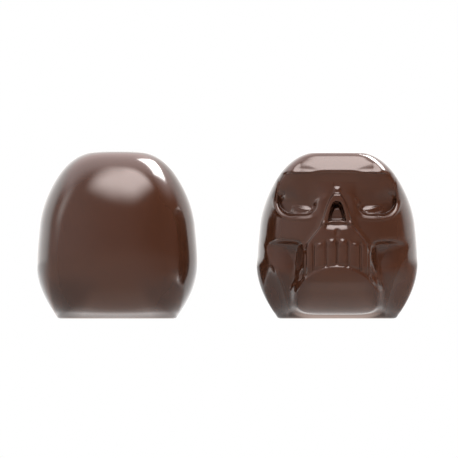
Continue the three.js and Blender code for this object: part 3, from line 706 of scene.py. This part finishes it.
def scraped_rim():
    """Flat rim where the surplus was scraped off: duller, with fine drag lines."""
    f = Finish("scraped rim", roughness=0.5)
    drag = f.noise(scale=900, stretch=(1, 1, 0.06))
    dark, light = (0.066, 0.026, 0.015), (0.098, 0.042, 0.026)
    f.put(f.shader, Base_Color=f.shades(drag, (0.3, dark), (0.75, light)))
    f.put(f.shader, Roughness=f.between(drag, low=0.4, high=0.62, start=0.3, end=0.7))
    f.bumps(drag, strength=0.25, distance=0.2 * MM)
    return f.material


# ---- the two halves ----
def cast_halves():
    finishes = [mould_gloss(), poured_skin(), scraped_rim()]   # in the order of the slots
    face_outside = skin_grid(spread(FACE_ROWS), FACE_COLUMNS, half_width, face_depth)
    back_outside = back_outside_grid(spread(BACK_ROWS), BACK_COLUMNS, finishes[OUTSIDE])
    halves = (("face", face_outside, face_depth, SPACING / 2),
              ("back", back_outside, back_depth, -SPACING / 2))
    for side, outside, depth_of, shift in halves:
        piece = close_shell(side + "_shell", outside, hollow_grid(depth_of), shift)
        for finish in finishes:
            piece.data.materials.append(finish)
        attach(piece, side + "_half")
        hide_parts(side + "_half")


# ---- floor ----
# half_size, between and behind are in mm, far_from counts as the table below does, and the other spans are
# stretches of the direction from the middle
FLOOR = Sizes(half_size=600, grey=(0.85, 0.85, 0.85), glow=7.0,
              between_necks=(0.6, 0.6, 0.6), between_share=0.85, between=(7, 12),
              far_from=(2.2, 4.5), behind=4,
              room_left=(1.05, 0.78, 0.7), room_right=(0.7, 0.4, 0.32), room_across=(-0.9, 0.7),
              backdrop=(1.5, 1.5, 1.5), backdrop_from=(0.1, 0.5))
# painted glow round a neck (a painted reflection, with painted shade at the neck itself) as (distance,
# level), where 1 is its outline, and what red, green and blue add to it
NEAR_NECK = ((1.0, 0.8), (1.045, 1.6), (1.087, 3.6), (1.122, 4.9), (1.157, 6.4), (1.195, 6.6), (1.24, 4.7),
             (1.3, 3.1), (1.385, 2.1), (1.46, 1.4), (1.63, 1.05), (1.92, 0.87), (2.7, 0.6), (4.3, 0.45))
NEAR_NECK_END = 5.0
NEAR_NECK_TINT = (0.36, 0.1, 0.0)


def glow_share(colour):
    """A colour as a share of the glow's strength."""
    return tuple(level / FLOOR.glow for level in colour)


def floor_finish_with_painted_glow():
    """Matt to the camera. Gloss sees a painted glow that is no lamp. It is a painted reflection, brightest
    close round the flat necks, so that the rounded lower edges light up.
    It holds painted shade right at the necks and further out in front of the halves, and is as light as the
    backdrop beside and behind."""
    f = Finish("pale floor", roughness=0.9)
    f.put(f.shader, Base_Color=FLOOR.grey)
    split = f.put(f.add("ShaderNodeSeparateXYZ"), Vector=f.place).outputs
    across, ahead = split["X"], split["Y"]

    # distance round a neck, 1 on its outline
    beside = f.math("ABSOLUTE", f.math("SUBTRACT", f.math("ABSOLUTE", across), SPACING / 2 * MM))
    wide = f.math("POWER", f.math("DIVIDE", beside, NECK_HALF * MM), SIDE_POWER)
    back_neck = (BACK_DEPTH - BACK_NECK_LOSS - NECK_FILLET) * MM
    face_neck = (FACE_DEPTH - FACE_NECK_LOSS - NECK_FILLET) * MM
    neck = f.between(across, low=back_neck, high=face_neck, start=-MM, end=MM)
    reach = f.math("MAXIMUM", f.math("SUBTRACT", f.math("MULTIPLY", ahead, -1), -RIM_Y * MM), 0)
    deep = f.math("POWER", f.math("DIVIDE", reach, neck), SIDE_POWER)
    ring = f.math("POWER", f.math("ADD", wide, deep), 1 / SIDE_POWER)
    # painted reflection round each neck: a bright band for the lower edges, warmer close in, painted shade in
    # front
    stops = []
    for distance, level in NEAR_NECK:
        colour = glow_share([level + tint for tint in NEAR_NECK_TINT])
        stops.append(((distance - 1) / (NEAR_NECK_END - 1), colour))
    near = f.shades(f.between(ring, start=1.0, end=NEAR_NECK_END), *stops)
    start, end = FLOOR.between
    between_necks = f.between(beside, high=FLOOR.between_share, start=start * MM, end=end * MM)
    near = f.blend(between_necks, near, glow_share(FLOOR.between_necks))

    # direction from the middle: painted reflection of a dim room in front, backdrop behind
    squares = f.math("ADD", f.math("POWER", across, 2.0), f.math("POWER", ahead, 2.0))
    length = f.math("SQRT", squares)
    start, end = FLOOR.backdrop_from
    rear = f.between(f.math("DIVIDE", ahead, length), start=start, end=end)
    start, end = FLOOR.room_across
    to_right = f.between(f.math("DIVIDE", across, length), start=start, end=end)
    room = f.shades(to_right, (0.0, glow_share(FLOOR.room_left)), (1.0, glow_share(FLOOR.room_right)))
    far_off = f.blend(rear, room, glow_share(FLOOR.backdrop))
    start, end = FLOOR.far_from
    away = f.between(ring, start=start, end=end)
    behind = f.between(ahead, start=RIM_Y * MM, end=(RIM_Y + FLOOR.behind) * MM)
    colour = f.blend(f.math("MAXIMUM", away, behind), near, far_off)

    # the painted glow: emission that no lamp gives, seen by gloss only
    glow = f.put(f.add("ShaderNodeEmission"), Color=colour, Strength=FLOOR.glow)
    ray = f.add("ShaderNodeLightPath").outputs["Is Glossy Ray"]
    seen = f.choose(ray, f.shader.outputs[0], glow.outputs[0])
    f.put(f.tree.nodes["Material Output"], Surface=seen)
    return f.material


def pale_floor():
    mesh = bpy.data.meshes.new("floor")
    far = FLOOR.half_size * MM
    mesh.from_pydata([(-far, -far, 0), (far, -far, 0), (far, far, 0), (-far, far, 0)], [], [(0, 1, 2, 3)])
    mesh.materials.append(floor_finish_with_painted_glow())
    put_in_scene("floor", mesh)


# ---- lamps, surroundings and camera ----
AIM = (0, 0, 17 * MM)   # the point that the lamps look at
CAMERA = Sizes(width=91.6 * MM, place=(0.4 * MM, -500 * MM, 17.9 * MM))
MATT_LEVEL = 0.35       # brightness all round that matt surfaces see
# What gloss sees round the halves. The spans are stretches of the way it looks, each between -1 and 1:
# X to the right, Y back and Z up.
ROOM = Sizes(left=(1.05, 0.78, 0.73), right=(0.46, 0.21, 0.15), across=(-0.9, 0.7))
STREAK = Sizes(level=2.8, colour=(1, 0.9, 0.86), left=(-0.6, -0.85), starts=(-0.3, -0.12), ends=(-0.1, 0.1),
               up=(-0.02, 0.45))
BACKDROP = Sizes(colour=(1, 0.99, 0.98), starts=(0.16, 0.36), across=(-0.4, 0.4),
                 left_rise=(0.08, 0.5), left_levels=(0.6, 2.2),
                 right_rise=(0.1, 0.55), right_levels=(0.5, 1.45))
OVERHEAD = Sizes(level=2.6, colour=(1, 0.85, 0.84), starts=(-0.3, 0.2), up=(0.45, 0.75))
CRISP = ((0.02, 0.02), (0.02, 0.02))   # shares of a lamp that fade, at both ends of its width and its height


def lamp(name, direction, distance, wide, tall, radiance, colour, spin=0.0, edges=CRISP):
    """A rectangular lamp that looks at the halves from a direction. Its sizes are in metres."""
    light = bpy.data.lights.new(name, "AREA")
    light.shape, light.size, light.size_y = "RECTANGLE", wide, tall
    light.energy, light.color = radiance * math.pi * wide * tall, colour
    light.use_nodes = True
    n = Nodes(light.node_tree)
    spot = n.add("ShaderNodeNewGeometry").outputs["Parametric"]
    split = n.put(n.add("ShaderNodeSeparateXYZ"), Vector=spot).outputs
    level = 1.0
    for axis, (near, far) in zip("XY", edges):
        rise = n.between(split[axis], start=0.0, end=near, kind="SMOOTHSTEP")
        fall = n.between(split[axis], low=1.0, high=0.0, start=1 - far, end=1.0, kind="SMOOTHSTEP")
        level = n.math("MULTIPLY", fall, n.math("MULTIPLY", rise, level))
    n.put(n.tree.nodes["Emission"], Strength=level)
    holder = put_in_scene(name, light)
    away = Vector(direction).normalized()
    holder.location = Vector(AIM) + away * distance
    holder.rotation_euler = (-away).to_track_quat("-Z", "Y").to_euler()
    holder.rotation_euler.rotate_axis("Z", math.radians(spin))


def surroundings():
    """White to the camera. Gloss sees a bright backdrop behind, above and beside the halves and a dim room in
    front, a little lighter on the left, with a streak of light there. Matt surfaces see one even level."""
    world = bpy.data.worlds.new("studio")
    bpy.context.scene.world = world
    world.use_nodes = True
    world.node_tree.nodes.clear()
    n = Nodes(world.node_tree)
    view = n.add("ShaderNodeTexCoord").outputs["Generated"]
    way = n.put(n.add("ShaderNodeSeparateXYZ"), Vector=view).outputs

    def fade(axis, span, levels=(0.0, 1.0)):
        return n.between(way[axis], *levels, *span, kind="SMOOTHSTEP")

    def background(level, colour=(1, 1, 1)):
        return n.put(n.add("ShaderNodeBackground"), Color=colour, Strength=level).outputs[0]

    dim = n.choose(fade("X", ROOM.across), background(1.0, ROOM.left), background(1.0, ROOM.right))
    streak = n.math("MULTIPLY", fade("Y", STREAK.starts), fade("Y", STREAK.ends, (1.0, 0.0)))
    streak = n.math("MULTIPLY", streak, fade("Z", STREAK.up))
    far_left = n.choose(streak, dim, background(STREAK.level, STREAK.colour))
    room = n.choose(fade("X", STREAK.left), dim, far_left)
    left_drop = background(fade("Y", BACKDROP.left_rise, BACKDROP.left_levels), BACKDROP.colour)
    right_drop = background(fade("Y", BACKDROP.right_rise, BACKDROP.right_levels), BACKDROP.colour)
    drop = n.choose(fade("X", BACKDROP.across), left_drop, right_drop)
    beside = n.choose(fade("Y", BACKDROP.starts), room, drop)
    above = n.choose(fade("Y", OVERHEAD.starts), room, background(OVERHEAD.level, OVERHEAD.colour))
    gloss = n.choose(fade("Z", OVERHEAD.up), beside, above)
    ray = n.add("ShaderNodeLightPath").outputs
    lit = n.choose(ray["Is Glossy Ray"], background(MATT_LEVEL), gloss)
    seen = n.choose(ray["Is Camera Ray"], lit, background(1.0))
    n.put(n.add("ShaderNodeOutputWorld"), Surface=seen)


def camera():
    data = bpy.data.cameras.new("camera")
    data.type, data.ortho_scale = "ORTHO", CAMERA.width
    holder = put_in_scene("camera", data)
    holder.location = CAMERA.place
    holder.rotation_euler = (math.pi / 2, 0, 0)
    bpy.context.scene.camera = holder


camera()
cast_halves()
pale_floor()
surroundings()
lamp("overhead softbox", direction=(0.02, -0.42, 0.86), distance=0.55, wide=0.58, tall=0.58, radiance=8.8,
     colour=(1, 0.88, 0.85), spin=50, edges=((0.46, 0.2), (0.38, 0.4)))
lamp("right bar", direction=(0.42, 0.38, 0.84), distance=0.6, wide=0.36, tall=0.2, radiance=26,
     colour=(1, 0.98, 0.96))
bpy.context.scene.view_settings.view_transform = "Standard"
